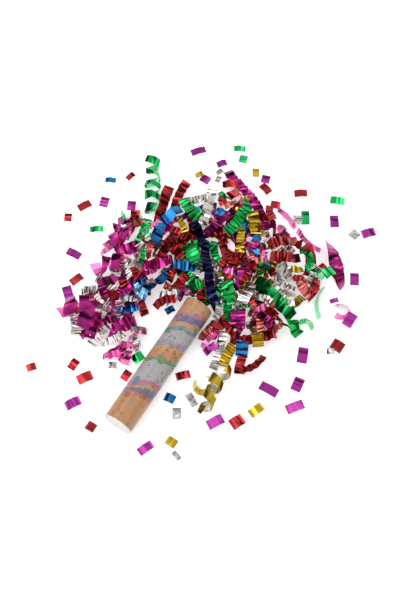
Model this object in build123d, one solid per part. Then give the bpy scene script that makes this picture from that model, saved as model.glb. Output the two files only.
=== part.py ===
from build123d import *
import math
import os

import numpy as np

# A twist-release confetti popper, fired and lying on a table with its charge spread around the mouth.
# Millimetres and degrees. X runs along the tube from the base cap to the mouth, Z is up, and the origin is
# the middle of the cap's outer face.

# Paper body: two tubes under printed wraps
BODY_DIAMETER = 50.0
BODY_LENGTH = 245.0
GRIP_LENGTH = 62.0
TUBE_WALL = 2.0
WRAP_THICKNESS = 0.2
WRAP_LAP = 6.0
LAP_ANGLE = 84.0

# Clearances
GLUE_LINE = 0.05
RUNNING_FIT = 0.1
SHAFT_FIT = 0.4
PIN_FIT = 0.02
JOINT_GAP = 0.1
RING_PLAY = 0.3
CUT_MARGIN = 1.0

# Base cap
CAP_FLANGE = 1.8
CAP_PROUD = 0.1
CAP_EDGE = 0.5
CAP_SKIRT = 12.0
CAP_WALL = 1.5
CAP_RIBS = 6
CAP_RIB = 1.2
CAP_RIB_HEIGHT = 5.0
CAP_HUB = 5.0

# Twist joint: coupler glued in the barrel, ring glued in the grip, clip between them
WASHER_THICKNESS = 0.5
COUPLER_GRIP = 28.0
COUPLER_SHOULDER = 1.5
NECK_WALL = 1.8
NECK_TAIL = 8.0
SEAT_LEDGE = 2.0
RING_WALL = 2.0
RING_LENGTH = 20.0
RING_INSET = 0.4
CLIP_THICKNESS = 1.0
CLIP_WIDTH = 2.0
CLIP_OPENING = 40.0
GROOVE_DEPTH = 0.8
GROOVE_PLAY = 0.1

# Latch: slotted plate in the grip that holds the cross pin until it is twisted
TWIST = 90.0
LATCH_PLATE = 3.0
LATCH_GAP = 1.5
LATCH_RIM = 6.0
LATCH_WALL = 1.4
DETENT_DEPTH = 0.8
DETENT_PLAY = 0.3
OVERTRAVEL = 0.3
LUG_ANGLE = 12.0
LUG_REACH = 4.0
LUG_PLAY = 0.15
STOP_SLACK = 2.0
NOTCH_PLAY = 0.5

# Plunger, spring and what it pushes
PIN_DIAMETER = 4.0
PIN_PLAY = 0.5
PIN_CHAMFER = 0.4
STEM_DIAMETER = 8.0
STEM_TAIL = 4.0
HEAD_DIAMETER = 18.0
HEAD_THICKNESS = 2.0
SEAT_PLATE = 3.0
PILOT_HEIGHT = 6.0
PILOT_WALL = 3.0
PILOT_FIT = 0.4
WIRE_DIAMETER = 2.0
WIRE_SIDES = 6
SPRING_TURNS = 9
SPRING_MARGIN = 2.4
SPRING_COCKED = 28.0
END_PITCH = 2.6
PITCH_BLEND = 0.125
MUZZLE_ROOM = 28.0
PUSHER_FIT = 0.5
CUP_DEPTH = 14.0
CUP_BASE = 2.5
CUP_WALL = 1.4
PAD_THICKNESS = 4.0
PAD_FIT = 0.3

# Seal at the mouth, burst into tongues
SEAL_THICKNESS = 0.3
SEAL_BAND = 10.0
SEAL_INSET = 1.0
SEAL_TONGUES = 8
TONGUE_LENGTH = 6.0

# Foil charge
FOIL = 0.2
PLEAT_RUN = 6.6
FINE = 1.0
LOOSE = 2.1
PLEAT_VARIATION = 1.4
PLEAT_SLOPE = 0.62
ROLL_LIMIT = 20.0
CURL_RUN = 5.0
CURL_ROLL = 66.0
TWIST_ROLL = 80.0
COIL_SIDES = 10
COIL_TAPER = 0.25
FLAKE_RISE = 1.4
LAYER_GAP = 0.25
DRAPE_SLOPE = 0.45
FLANK_GAP = 0.6
MOUTH_GAP = 6.0
CELL = 0.5
SAMPLES = 2

# Radii and stations worked out from the sizes above
BODY_RADIUS = BODY_DIAMETER / 2
TUBE_RADIUS = BODY_RADIUS - WRAP_THICKNESS
BORE = TUBE_RADIUS - TUBE_WALL
GLUED = BORE - GLUE_LINE
FLOOR = -(BODY_RADIUS + CAP_PROUD)
NECK_RADIUS = GLUED - RING_WALL - RUNNING_FIT
NECK_BORE = NECK_RADIUS - NECK_WALL
SEAT_BORE = NECK_BORE + SEAT_LEDGE
WIRE_RADIUS = WIRE_DIAMETER / 2
SPRING_RADIUS = SEAT_BORE - SPRING_MARGIN - WIRE_RADIUS
PILOT_RADIUS = SPRING_RADIUS - WIRE_RADIUS - PILOT_FIT
STEM_RADIUS = STEM_DIAMETER / 2
HEAD_RADIUS = HEAD_DIAMETER / 2
PIN_RADIUS = PIN_DIAMETER / 2
PASS_RADIUS = PILOT_RADIUS - PILOT_FIT - PILOT_WALL
PIN_LENGTH = 2 * (PASS_RADIUS - PIN_PLAY)
PUSHER_RADIUS = BORE - PUSHER_FIT

BARREL_START = GRIP_LENGTH + JOINT_GAP + WASHER_THICKNESS
RING_END = GRIP_LENGTH - RING_INSET
RING_START = RING_END - RING_LENGTH
CLIP_END = RING_START - RING_PLAY
CLIP_START = CLIP_END - CLIP_THICKNESS
NECK_END = CLIP_START - GROOVE_PLAY - NECK_TAIL
PLATE_FRONT = NECK_END - LATCH_GAP
PLATE_REAR = PLATE_FRONT - LATCH_PLATE
LEDGE = BARREL_START + COUPLER_SHOULDER
SEAT_FRONT = LEDGE + SEAT_PLATE
PUSHER_COCKED = SEAT_FRONT + SPRING_COCKED
PUSHER_BACK = BODY_LENGTH - MUZZLE_ROOM - CUP_DEPTH
STROKE = PUSHER_BACK - PUSHER_COCKED
PIN_STATION = PLATE_REAR - OVERTRAVEL - PIN_RADIUS + STROKE

# Pleated streamers as they lie: foil, start and end as (ahead of the mouth, to the left of the axis),
# turn along the way, width and how far the pleats are pulled out. The first lie lowest.
STREAMERS = [
    ("silver", (-150, 150), (-112, 186), 30, 16, FINE),
    ("silver", (-150, 118), (-108, 110), -20, 16, FINE),
    ("red", (-118, 152), (-76, 174), 20, 14, FINE),
    ("magenta", (-146, 126), (-104, 136), 15, 18, LOOSE),
    ("magenta", (-140, 142), (-84, 154), -15, 18, LOOSE),
    ("magenta", (-118, 96), (-78, 76), -25, 18, LOOSE),
    ("silver", (-96, 106), (-60, 122), 20, 14, FINE),
    ("magenta", (-54, 118), (-10, 102), 0, 17, FINE),
    ("magenta", (-56, 166), (-15, 140), -35, 18, LOOSE),
    ("silver", (-30, 150), (16, 166), 15, 15, FINE),
    ("magenta", (10, 178), (46, 150), -10, 18, LOOSE),
    ("blue", (-64, 100), (40, 72), -12, 17, FINE),
    ("magenta", (12, 126), (48, 84), 10, 16, FINE),
    ("green", (50, 158), (100, 172), 10, 14, FINE),
    ("red", (47, 186), (102, 199), 35, 15, FINE),
    ("red", (92, 146), (175, 174), -15, 16, FINE),
    ("red", (135, 138), (198, 152), -35, 16, FINE),
    ("silver", (120, 74), (208, 104), 8, 15, FINE),
    ("green", (165, 138), (138, 88), 35, 18, FINE),
    ("magenta", (120, 64), (198, 42), 8, 15, FINE),
    ("green", (140, 33), (212, 28), 12, 16, FINE),
    ("magenta", (258, 104), (184, -26), -12, 14, FINE),
    ("gold", (196, 18), (166, -12), -20, 18, FINE),
    ("silver", (172, -22), (150, -78), 20, 14, FINE),
    ("red", (150, -45), (188, -90), -40, 17, FINE),
    ("red", (188, -95), (146, -126), -70, 16, FINE),
    ("silver", (128, -74), (120, -110), 10, 14, FINE),
    ("red", (132, -58), (158, -102), 15, 18, FINE),
    ("silver", (134, -138), (170, -132), 10, 16, FINE),
    ("green", (172, -94), (150, -120), -150, 11, FINE),
    ("gold", (90, -126), (118, -136), 15, 13, FINE),
    ("magenta", (48, -92), (28, -132), 10, 14, FINE),
    ("red", (52, -64), (46, -122), -20, 16, FINE),
    ("green", (84, -58), (69, -142), -12, 19, LOOSE),
    ("green", (66, -144), (50, -168), 30, 18, LOOSE),
    ("red", (-16, -72), (28, -134), 20, 17, FINE),
    ("silver", (82, -54), (38, -60), 0, 18, FINE),
    ("silver", (26, -80), (12, -108), 10, 16, FINE),
    ("magenta", (32, -58), (4, -74), 0, 22, FINE),
    ("gold", (12, -104), (-8, -122), -20, 16, FINE),
    ("red", (8, -50), (-30, -42), 12, 18, LOOSE),
    ("silver", (-14, -58), (-78, -76), -10, 14, FINE),
    ("gold", (-22, -82), (-64, -88), 15, 15, FINE),
    ("blue", (-8, -92), (-32, -104), 0, 18, FINE),
    ("red", (-28, -106), (-60, -116), 25, 14, FINE),
    ("red", (-56, -118), (-12, -136), 30, 12, FINE),
    ("green", (60, -14), (28, -40), -25, 18, FINE),
    ("green", (12, 40), (38, 18), 0, 16, FINE),
    ("blue", (40, 76), (58, 44), 0, 16, FINE),
    ("green", (90, 78), (64, 44), 25, 20, FINE),
    ("red", (40, 102), (92, 108), -10, 15, FINE),
    ("blue", (50, 122), (142, 128), -55, 15, LOOSE),
    ("gold", (165, 17), (98, -26), 20, 12, FINE),
    ("navy", (126, 93), (62, 24), -35, 14, LOOSE),
    ("navy", (62, 24), (0, -34), 35, 14, LOOSE),
]

# Curls: streamers that stand on edge and bend round smoothly, and twists, which turn over along their length
CURLS = [
    ("magenta", (238, -14), (222, -58), -40, 11),
    ("magenta", (222, -64), (208, -118), 40, 11),
    ("green", (152, -158), (98, -180), 70, 11),
    ("red", (84, 202), (95, 196), 300, 13),
    ("magenta", (118, -200), (131, -192), 290, 12),
    ("gold", (-108, -62), (-94, -72), 290, 13),
    ("green", (58, -172), (69, -180), -280, 12),
    ("silver", (214, -132), (204, -142), -240, 12),
]
TWISTS = [
    ("magenta", (232, -114), (164, -186), -12, 20),
    ("magenta", (-150, 92), (-112, 66), 30, 12),
    ("red", (150, -150), (112, -152), 40, 15),
]

# Coils, wound up like wood shavings: foil, both ends of the axis, turns, radius and width
COILS = [
    ("green", (112, 168), (216, 238), 5, 11, 14),
    ("gold", (-70, -92), (-152, -104), 3, 12, 17),
    ("magenta", (-146, 192), (-98, 152), 2.5, 13, 17),
    ("magenta", (-42, 192), (-2, 150), 2.5, 12, 15),
    ("magenta", (2, 198), (54, 174), 2.5, 12, 15),
    ("red", (242, 98), (204, 50), 2.5, 11, 15),
]

# Short streamers under the others: middle, half extents and foils, taken in turn, of each heap
HEAPS = [
    ((98, 14), (92, 118), ("red", "silver", "magenta", "green", "gold", "red", "silver", "blue")),
    ((-62, 134), (78, 44), ("magenta", "silver", "magenta", "red", "silver")),
]
HEAP_SPACING = 21.0
HEAP_LENGTH = 42.0
HEAP_WIDTH = 13.0
HEAP_TURN = 50.0
GOLDEN_ANGLE = 137.5
HEADING_STEP = 73.0

# Loose confetti: (ahead of the mouth, left of the axis), heading, length and width, by foil
CONFETTI = {
    "magenta": [
        ((88, 257), 18, 19, 15), ((-25, 244), -86, 26, 14), ((-93, 208), 50, 30, 16),
        ((-249, 88), -30, 26, 16), ((-248, -55), -22, 26, 14), ((-50, -54), -22, 24, 13),
        ((-150, -127), -30, 28, 17), ((-55, -172), -88, 32, 16), ((-58, -224), -36, 30, 16),
        ((-22, -208), 8, 24, 17), ((27, -189), 22, 28, 17), ((122, -225), -2, 24, 17),
        ((275, -109), 34, 23, 15), ((287, -171), -40, 24, 16), ((196, -194), 30, 23, 15),
        ((198, -63), -42, 27, 14), ((267, 172), -38, 27, 13), ((224, 130), -92, 18, 15),
        ((268, 122), -38, 18, 12), ((108, 212), 28, 18, 15), ((283, 38), 18, 16, 15),
        ((142, -184), -42, 15, 8),
    ],
    "red": [
        ((157, 247), -12, 17, 10), ((63, 283), -28, 24, 14), ((28, 294), 28, 15, 13),
        ((-63, 212), -20, 23, 14), ((-235, 183), -38, 16, 13), ((-193, 126), -2, 19, 14),
        ((-202, 97), -32, 26, 17), ((-266, 40), -88, 16, 15), ((-111, -38), -44, 24, 14),
        ((-131, -157), -24, 23, 19), ((73, -230), -92, 21, 20), ((123, -142), -66, 17, 16),
        ((266, 28), 72, 22, 14), ((292, -30), -54, 23, 14), ((247, -4), -68, 17, 15),
        ((-162, 41), 0, 18, 14), ((187, -137), 72, 15, 10),
    ],
    "green": [
        ((36, 238), -54, 23, 11), ((312, 111), -62, 21, 11), ((297, 94), 18, 15, 14),
        ((314, -93), -68, 25, 14), ((254, -62), 32, 27, 14), ((170, -153), -22, 21, 18),
        ((-125, 42), -22, 20, 17),
    ],
    "blue": [((131, 273), -62, 19, 10), ((-156, -42), -82, 18, 15), ((-24, 44), -28, 16, 12)],
    "gold": [((-217, -85), -92, 18, 15), ((-97, -173), -22, 26, 15), ((285, 60), 32, 17, 12),
             ((226, 144), -38, 14, 10)],
    "silver": [
        ((-235, -103), -18, 16, 16), ((-172, -66), 34, 19, 14), ((-139, -74), 62, 24, 12),
        ((239, -54), 30, 19, 15), ((271, -152), -12, 16, 16), ((213, -43), 72, 14, 9),
        ((-159, 70), -62, 14, 11), ((-134, 60), -28, 17, 15), ((-107, 58), -38, 15, 14),
        ((58, -225), -58, 12, 10), ((251, 116), -20, 13, 9), ((237, 110), 10, 13, 9),
    ],
}


def turned(*outline):
    """A solid turned about the tube's axis from (station, radius) corners."""
    return revolve(make_face(Polyline(*outline, close=True)), Axis.X)


def ring(start, end, inner, outer):
    """A plain ring about the tube's axis."""
    return turned((start, inner), (end, inner), (end, outer), (start, outer))


def sector(start, end, inner, outer, middle, span):
    """A part of a ring, centred on an angle counted from +Y towards +Z."""
    corners = ((start, inner), (end, inner), (end, outer), (start, outer))
    face = make_face(Polyline(*corners, close=True))
    return Rot(X=middle - span / 2) * revolve(face, Axis.X, revolution_arc=span)


def cross_bar(start, end, length, width, angle=0.0):
    """A block across the axis, used for slots: length lies along Y before it is turned."""
    middle = (start + end) / 2
    return Rot(X=angle) * Pos(middle, 0, 0) * Box(end - start, length, width)


def paper_wrap(start, end):
    """The printed sheet round a tube, with its glued lap along the top."""
    lap_span = math.degrees(WRAP_LAP / BODY_RADIUS)
    lap = sector(start, end, BODY_RADIUS, BODY_RADIUS + WRAP_THICKNESS, LAP_ANGLE, lap_span)
    return ring(start, end, TUBE_RADIUS, BODY_RADIUS) + lap


def base_cap():
    """Moulded end cap: flat flange, plug skirt, hub and stiffening ribs."""
    rim = BODY_RADIUS + CAP_PROUD
    skirt_end = CAP_FLANGE + CAP_SKIRT
    inside = GLUED - CAP_WALL
    cap = turned(
        (0, 0), (0, rim - CAP_EDGE), (CAP_EDGE, rim), (CAP_FLANGE, rim), (CAP_FLANGE, GLUED),
        (skirt_end - CAP_EDGE, GLUED), (skirt_end, GLUED - CAP_EDGE), (skirt_end, inside),
        (CAP_FLANGE, inside), (CAP_FLANGE, 0),
    )
    rib_end = CAP_FLANGE + CAP_RIB_HEIGHT
    cap += turned((CAP_FLANGE, 0), (rib_end, 0), (rib_end, CAP_HUB), (CAP_FLANGE, CAP_HUB))
    overlap = CAP_WALL / 2
    reach = inside + overlap - CAP_HUB / 2
    rib = Pos((CAP_FLANGE + rib_end) / 2, CAP_HUB / 2 + reach / 2, 0) * Box(CAP_RIB_HEIGHT, reach, CAP_RIB)
    for index in range(CAP_RIBS):
        cap += Rot(X=360 * index / CAP_RIBS) * rib
    return cap


def coupler():
    """Sleeve glued in the barrel whose neck runs inside the grip, with the stop notch in its tail."""
    groove_start = CLIP_START - GROOVE_PLAY
    groove_end = CLIP_END + GROOVE_PLAY
    groove_floor = NECK_RADIUS - GROOVE_DEPTH
    front = BARREL_START + COUPLER_GRIP
    body = turned(
        (NECK_END, NECK_BORE), (NECK_END, NECK_RADIUS), (groove_start, NECK_RADIUS),
        (groove_start, groove_floor), (groove_end, groove_floor), (groove_end, NECK_RADIUS),
        (BARREL_START, NECK_RADIUS), (BARREL_START, GLUED), (front, GLUED), (front, SEAT_BORE),
        (LEDGE, SEAT_BORE), (LEDGE, NECK_BORE),
    )
    span = TWIST + LUG_ANGLE + 2 * STOP_SLACK
    notch_end = PLATE_FRONT + LATCH_GAP + LUG_REACH + NOTCH_PLAY
    notch = sector(PLATE_FRONT, notch_end, NECK_BORE - NECK_WALL, NECK_RADIUS + NECK_WALL, TWIST / 2, span)
    return body - notch


def retaining_clip():
    """Open snap ring in the neck's groove, behind the bearing ring."""
    inner = NECK_RADIUS - GROOVE_DEPTH + GROOVE_PLAY
    return sector(CLIP_START, CLIP_END, inner, inner + CLIP_WIDTH, LAP_ANGLE, 360 - CLIP_OPENING)


def latch_cup():
    """Slotted plate with a rim, glued in the grip, and the lug that stops the twist at both ends."""
    rim_inside = GLUED - LATCH_WALL
    rim_end = PLATE_FRONT + LATCH_RIM
    cup = turned(
        (PLATE_REAR, 0), (PLATE_REAR, GLUED), (rim_end, GLUED), (rim_end, rim_inside),
        (PLATE_FRONT, rim_inside), (PLATE_FRONT, 0),
    )
    cut_start, cut_end = PLATE_REAR - CUT_MARGIN, PLATE_FRONT + CUT_MARGIN
    lug_end = PLATE_FRONT + LATCH_GAP + LUG_REACH
    lug_inner = NECK_BORE + LUG_PLAY
    lug_outer = NECK_RADIUS - LUG_PLAY
    cup += sector(PLATE_FRONT - LATCH_PLATE / 2, lug_end, lug_inner, lug_outer, TWIST, LUG_ANGLE)
    cup -= cross_bar(cut_start, cut_end, 2 * PASS_RADIUS, PIN_DIAMETER + 2 * PIN_PLAY)
    cup -= ring(cut_start, cut_end, 0, STEM_RADIUS + SHAFT_FIT)
    detent = cross_bar(
        PLATE_REAR - DETENT_DEPTH, PLATE_REAR + DETENT_DEPTH, 2 * PASS_RADIUS,
        PIN_DIAMETER + 2 * DETENT_PLAY, TWIST,
    )
    return cup - detent


def spring_seat():
    """Plate on the coupler's ledge with a hollow pilot for the spring; the latch pin passes through it."""
    pilot_end = SEAT_FRONT + PILOT_HEIGHT
    edge = SEAT_BORE - GLUE_LINE
    return turned(
        (LEDGE, PASS_RADIUS), (LEDGE, edge), (SEAT_FRONT, edge), (SEAT_FRONT, PILOT_RADIUS),
        (pilot_end, PILOT_RADIUS - PILOT_FIT), (pilot_end, PASS_RADIUS),
    )


def spring_advance(turn, active_pitch):
    """How far along the axis the wire has come after so many turns; the end turns lie close."""
    end_turns = min(turn, 1.0) + max(turn - (SPRING_TURNS - 1), 0.0)
    active_turns = min(max(turn - 1.0, 0.0), SPRING_TURNS - 2.0)
    return END_PITCH * end_turns + active_pitch * active_turns


def spring_point(turn, active_pitch):
    """Where the middle of the wire is after so many turns."""
    angle = 2 * math.pi * turn
    station = SEAT_FRONT + WIRE_RADIUS + RUNNING_FIT + spring_advance(turn, active_pitch)
    return Vector(station, SPRING_RADIUS * math.cos(angle), SPRING_RADIUS * math.sin(angle))


def spring_heading(turn, active_pitch):
    """The wire's direction after so many turns, averaged over a short stretch of it."""
    angle = 2 * math.pi * turn
    low, high = max(turn - PITCH_BLEND, 0.0), min(turn + PITCH_BLEND, SPRING_TURNS)
    rise = (spring_advance(high, active_pitch) - spring_advance(low, active_pitch)) / (high - low)
    around = 2 * math.pi * SPRING_RADIUS
    return Vector(rise, -around * math.sin(angle), around * math.cos(angle)).normalized()


def bent_wire(section, first, last, leave):
    """One arc of wire from a section at its first point: its sides, and the section at its last point."""
    chord = last - first
    normal = leave.cross(chord).normalized()
    bend = 2 * leave.get_angle(chord)
    radius = chord.length / (2 * math.sin(math.radians(bend) / 2))
    axis = Axis(first + normal.cross(leave) * radius, normal)
    arc = revolve(section, axis, revolution_arc=bend)
    sides = arc.faces().sort_by_distance((first + last) * 0.5)[:WIRE_SIDES]
    return sides, section.rotate(axis, bend)


def main_spring():
    """Compression spring at its fired length: one wire, drawn with flats, on arcs of about a quarter turn."""
    span = PUSHER_BACK - SEAT_FRONT - WIRE_DIAMETER - 2 * RUNNING_FIT
    active_pitch = (span - 2 * END_PITCH) / (SPRING_TURNS - 2)
    first = spring_point(0, active_pitch)
    leave = spring_heading(0, active_pitch)
    section = (Plane(origin=first, z_dir=leave) * RegularPolygon(WIRE_RADIUS, WIRE_SIDES)).face()
    faces = [section]
    for half in range(1, 2 * SPRING_TURNS + 1):
        last = spring_point(half / 2, active_pitch)
        arrive = spring_heading(half / 2, active_pitch)
        chord, both = last - first, leave + arrive
        spread = 2 * (1 - leave.dot(arrive))
        along = chord.dot(both)
        reach = (math.sqrt(along**2 + spread * chord.dot(chord)) - along) / spread
        middle = (first + last + (leave - arrive) * reach) * 0.5
        turned_heading = (chord - both * reach).normalized()
        for begin, finish, heading in ((first, middle, leave), (middle, last, turned_heading)):
            sides, section = bent_wire(section, begin, finish, heading)
            faces.extend(sides)
        first, leave = last, arrive
    print("spring: least gap between turns", round(END_PITCH - WIRE_DIAMETER, 2), "mm")
    return Solid(Shell([*faces, section]))


def pusher_cup():
    """Cup that slides in the barrel: base with spring pilot, hole for the stem, skirt towards the mouth."""
    front = PUSHER_BACK + CUP_DEPTH
    base_front = PUSHER_BACK + CUP_BASE
    pilot_end = PUSHER_BACK - PILOT_HEIGHT
    hole = STEM_RADIUS + PIN_FIT
    return turned(
        (pilot_end, hole), (pilot_end, PILOT_RADIUS - PILOT_FIT), (PUSHER_BACK, PILOT_RADIUS),
        (PUSHER_BACK, PUSHER_RADIUS), (front, PUSHER_RADIUS), (front, PUSHER_RADIUS - CUP_WALL),
        (base_front, PUSHER_RADIUS - CUP_WALL), (base_front, hole),
    )


def pusher_pad():
    """Board wad in the cup, hollowed behind for the stem's head."""
    back = PUSHER_BACK + CUP_BASE
    edge = PUSHER_RADIUS - CUP_WALL - PAD_FIT
    pocket = HEAD_RADIUS + PAD_FIT
    pocket_end = back + HEAD_THICKNESS + RUNNING_FIT
    return turned(
        (pocket_end, 0), (pocket_end, pocket), (back, pocket), (back, edge), (back + PAD_THICKNESS, edge),
        (back + PAD_THICKNESS, 0),
    )


def latch_stem():
    """Headed rod from the pusher back to the cross pin."""
    head_back = PUSHER_BACK + CUP_BASE
    tail = PIN_STATION - PIN_RADIUS - STEM_TAIL
    rod = turned(
        (tail, 0), (tail, STEM_RADIUS - PIN_CHAMFER), (tail + PIN_CHAMFER, STEM_RADIUS),
        (head_back, STEM_RADIUS), (head_back, HEAD_RADIUS), (head_back + HEAD_THICKNESS, HEAD_RADIUS),
        (head_back + HEAD_THICKNESS, 0),
    )
    hole = Pos(PIN_STATION, 0, 0) * Rot(X=90) * Cylinder(PIN_RADIUS + PIN_FIT, 2 * STEM_DIAMETER)
    return rod - hole


def latch_pin():
    """Steel cross pin that hooks behind the latch plate."""
    pin = Cylinder(PIN_RADIUS, PIN_LENGTH)
    pin = chamfer(pin.edges().filter_by(GeomType.CIRCLE), PIN_CHAMFER)
    return Pos(PIN_STATION, 0, 0) * Rot(X=90) * pin


def mouth_seal():
    """What is left of the paper seal: a glued band with torn tongues along its front edge."""
    end = BODY_LENGTH - SEAL_INSET
    band = ring(end - SEAL_BAND, end, GLUED - SEAL_THICKNESS, GLUED)
    half = math.pi * GLUED / SEAL_TONGUES
    edge = end + CUT_MARGIN
    tear = make_face(Polyline((end - TONGUE_LENGTH, 0), (edge, half), (edge, -half), close=True))
    cut = extrude(tear, amount=2 * BORE)
    for index in range(SEAL_TONGUES):
        band -= Rot(X=360 * (index + 0.5) / SEAL_TONGUES) * cut
    return band


def arc_folds(start, end, turn, width, run, rise, rolls):
    """Fold lines of a pleated strip along an arc: the left and right end of each, heights from zero."""
    start = np.array(start, float) + (BODY_LENGTH, 0)
    end = np.array(end, float) + (BODY_LENGTH, 0)
    chord = end - start
    bend = math.radians(turn) if turn else 1e-6
    radius = math.hypot(*chord) / (2 * math.sin(bend / 2))
    count = max(2, round(abs(radius * bend) / run))
    leave = math.atan2(chord[1], chord[0]) - bend / 2
    heading = leave + bend * np.linspace(0, 1, count + 1)
    x = start[0] + radius * (np.sin(heading) - math.sin(leave))
    y = start[1] - radius * (np.cos(heading) - math.cos(leave))
    lean = np.radians(np.linspace(*rolls, count + 1))
    half = width / 2 * np.cos(lean)
    tilt = width / 2 * np.sin(lean)
    z = rise * (np.arange(count + 1) % 2)
    left = np.stack([x - half * np.sin(heading), y + half * np.cos(heading), z + tilt], axis=1)
    right = np.stack([x + half * np.sin(heading), y - half * np.cos(heading), z - tilt], axis=1)
    folds = np.stack([left, right], axis=1)
    folds[:, :, 2] -= folds[:, :, 2].min() - FOIL
    return folds


def coil_folds(start, end, turns, radius, width):
    """Fold lines of a strip wound round an axis above the table, and the step from each to its inner side."""
    start = np.array(start, float) + (BODY_LENGTH, 0)
    end = np.array(end, float) + (BODY_LENGTH, 0)
    along = (end - start) / np.linalg.norm(end - start)
    share = np.linspace(0, 1, round(turns * COIL_SIDES) + 1)
    angle = 2 * math.pi * turns * share
    reach = radius * (1 - COIL_TAPER * share)
    outward = np.stack([-along[1] * np.sin(angle), along[0] * np.sin(angle), np.cos(angle)], axis=1)
    axis = np.column_stack([start + share[:, None] * (end - start), reach + FOIL])
    middle = axis + reach[:, None] * outward
    half = np.array([*along, 0.0]) * width / 2
    return np.stack([middle - half, middle + half], axis=1), -FOIL * outward[:, None]


def points_between(folds):
    """Points over every facet of a strip about half a cell apart, and the facet that each lies in."""
    plan = folds[:, :, :2]
    longest = np.linalg.norm(np.diff(plan, axis=0), axis=2).max()
    widest = np.linalg.norm(plan[:, 0] - plan[:, 1], axis=1).max()
    steps = math.ceil(max(longest, widest) * SAMPLES / CELL)
    share = np.linspace(0, 1, steps + 1)
    across = folds[:, 0, None] * (1 - share[:, None]) + folds[:, 1, None] * share[:, None]
    inner = share[:-1, None, None]
    facets = [first * (1 - inner) + last * inner for first, last in zip(across, across[1:])]
    points = np.concatenate([facet.reshape(-1, 3) for facet in facets] + [across[-1]])
    facet_of = np.repeat(np.arange(len(facets)), steps * (steps + 1))
    facet_of = np.concatenate([facet_of, np.full(steps + 1, len(facets) - 1)])
    return points, facet_of


def beside_tube(folds):
    """Moves a strip out of the tube's way, sideways or ahead, whichever is the shorter move."""
    points, _ = points_between(folds)
    flank = BODY_RADIUS + CAP_PROUD + FLANK_GAP
    front = BODY_LENGTH + MOUTH_GAP
    beside = (points[:, 0] > -FLANK_GAP) & (points[:, 0] < front)
    inside = beside & (np.abs(points[:, 1]) < flank)
    if not inside.any():
        return folds
    side = 1.0 if folds[:, :, 1].mean() > 0 else -1.0
    aside = flank - (side * points[beside, 1]).min()
    ahead = front - points[np.abs(points[:, 1]) < flank, 0].min()
    shift = (ahead, 0, 0) if ahead < aside else (0, side * aside, 0)
    return folds + shift


class Pile:
    """Heights of what already lies on the table, on a grid, so that each strip rests on those below."""

    def __init__(self, strips):
        spread = np.concatenate([folds[:, :, :2].reshape(-1, 2) for folds in strips])
        self.corner = spread.min(axis=0) - BODY_DIAMETER
        self.heights = np.zeros(((spread.max(axis=0) + BODY_DIAMETER - self.corner) / CELL).astype(int))

    def cells(self, points):
        """Grid indices of points."""
        return tuple(((points[:, :2] - self.corner) / CELL).astype(int).T)

    def ground(self, points):
        """The highest thing in each point's cell and in the cells around it."""
        column, row = self.cells(points)
        around = [self.heights[column + i, row + j] for i in (-1, 0, 1) for j in (-1, 0, 1)]
        return np.max(around, axis=0)

    def lay(self, folds, slope):
        """Rests a strip on the pile, bent no steeper than a slope, and returns its fold lines at their heights."""
        folds = beside_tube(folds)
        points, facet = points_between(folds)
        ground = self.ground(points)
        room = np.where(ground > 0, LAYER_GAP, 0.0)
        needed = ground + room + FOIL - points[:, 2]
        lift = np.full(len(folds), -np.inf)
        np.maximum.at(lift, facet, needed)
        np.maximum.at(lift, facet + 1, needed)
        middle = folds.mean(axis=1)[:, :2]
        apart = np.linalg.norm(middle[:, None] - middle[None], axis=2)
        lift = (lift[None] - slope * apart).max(axis=1)
        folds = folds + np.stack([0 * lift, 0 * lift, lift], axis=1)[:, None]
        points, _ = points_between(folds)
        folds[:, :, 2] -= (points[:, 2] - FOIL - ground - room).min()
        points, _ = points_between(folds)
        np.maximum.at(self.heights, self.cells(points), points[:, 2])
        return folds


def foil_solid(folds, step):
    """A strip of foil from its fold lines and the step to its other side, as one closed solid."""
    top = folds + (0, 0, FLOOR)
    low = top + step
    faces = []

    def add(*corners):
        faces.append(Face(Wire.make_polygon([tuple(corner) for corner in corners])))

    for i in range(len(folds) - 1):
        for sheet in (top, low):
            add(sheet[i, 0], sheet[i, 1], sheet[i + 1, 1])
            add(sheet[i, 0], sheet[i + 1, 1], sheet[i + 1, 0])
        for side in (0, 1):
            add(top[i, side], top[i + 1, side], low[i + 1, side])
            add(top[i, side], low[i + 1, side], low[i, side])
    for i in (0, -1):
        add(top[i, 0], top[i, 1], low[i, 1], low[i, 0])
    return Solid(Shell(faces))


def heap_rows():
    """The short streamers of each heap, spread evenly by the golden angle."""
    for middle, extents, foils in HEAPS:
        count = round(math.pi * extents[0] * extents[1] / HEAP_SPACING**2)
        for index in range(count):
            angle = math.radians(GOLDEN_ANGLE * index)
            reach = math.sqrt((index + 0.5) / count)
            heading = math.radians(HEADING_STEP * index)
            place = np.array(middle) + reach * np.array(extents) * (math.cos(angle), math.sin(angle))
            half = HEAP_LENGTH / 2 * np.array([math.cos(heading), math.sin(heading)])
            turn = HEAP_TURN * math.sin(2 * angle)
            yield foils[index % len(foils)], place - half, place + half, turn, HEAP_WIDTH, FINE


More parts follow.
